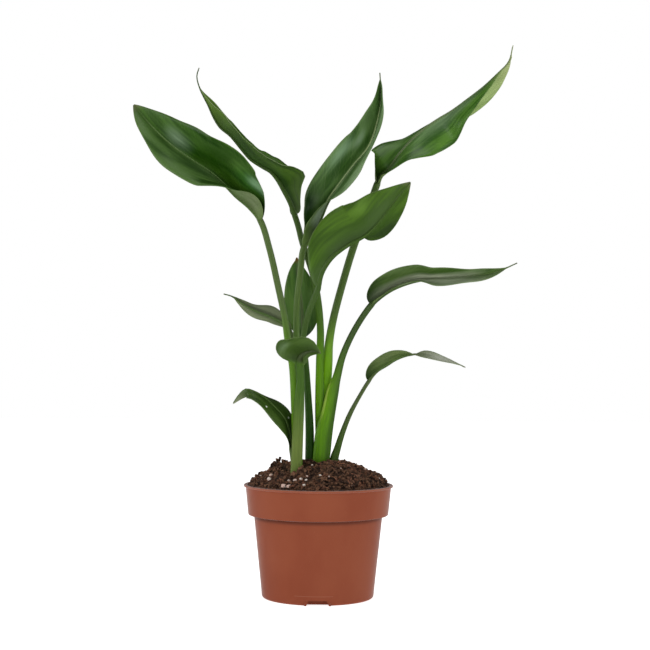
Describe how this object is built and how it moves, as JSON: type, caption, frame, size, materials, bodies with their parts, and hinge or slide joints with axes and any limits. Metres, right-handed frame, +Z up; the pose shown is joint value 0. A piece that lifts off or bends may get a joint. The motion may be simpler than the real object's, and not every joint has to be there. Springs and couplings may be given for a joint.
{
  "type": "potted bird of paradise plant",
  "caption": "Young bird of paradise house plant: long-stalked folded leaves in fans, standing in soil mounded in a tapered nursery pot with a wide rim band.",
  "frame": {"origin": "centre of the pot's flat underside", "axes": "+Z up from the pot's base to the leaf tips, the front of the plant as pictured looks along -Y, +X to the viewer's right"},
  "size_m": [0.3086, 0.1306, 0.4497],
  "materials": {
    "leaf_upper_right": "satin living leaf",
    "leaf_top_left": "satin living leaf",
    "leaf_mid_right": "satin living leaf",
    "leaf_centre_back": "satin living leaf",
    "leaf_lower_right": "satin living leaf",
    "leaf_top_centre": "satin living leaf",
    "leaf_upper_left": "satin living leaf",
    "leaf_centre_front": "satin living leaf",
    "leaf_front_nodding": "satin living leaf",
    "leaf_left_back": "satin living leaf",
    "leaf_lower_left": "satin living leaf",
    "soil": "loose dark potting soil with fibres and perlite",
    "pot": "satin terracotta-brown moulded plastic"
  },
  "bodies": {
    "root": {"leaf_upper_right": "leaf_upper_right", "leaf_top_left": "leaf_top_left", "leaf_mid_right": "leaf_mid_right", "leaf_centre_back": "leaf_centre_back", "leaf_lower_right": "leaf_lower_right", "leaf_top_centre": "leaf_top_centre", "leaf_upper_left": "leaf_upper_left", "leaf_centre_front": "leaf_centre_front", "leaf_front_nodding": "leaf_front_nodding", "leaf_left_back": "leaf_left_back", "leaf_lower_left": "leaf_lower_left", "soil": "soil", "pot": "pot"}
  },
  "joints": []
}
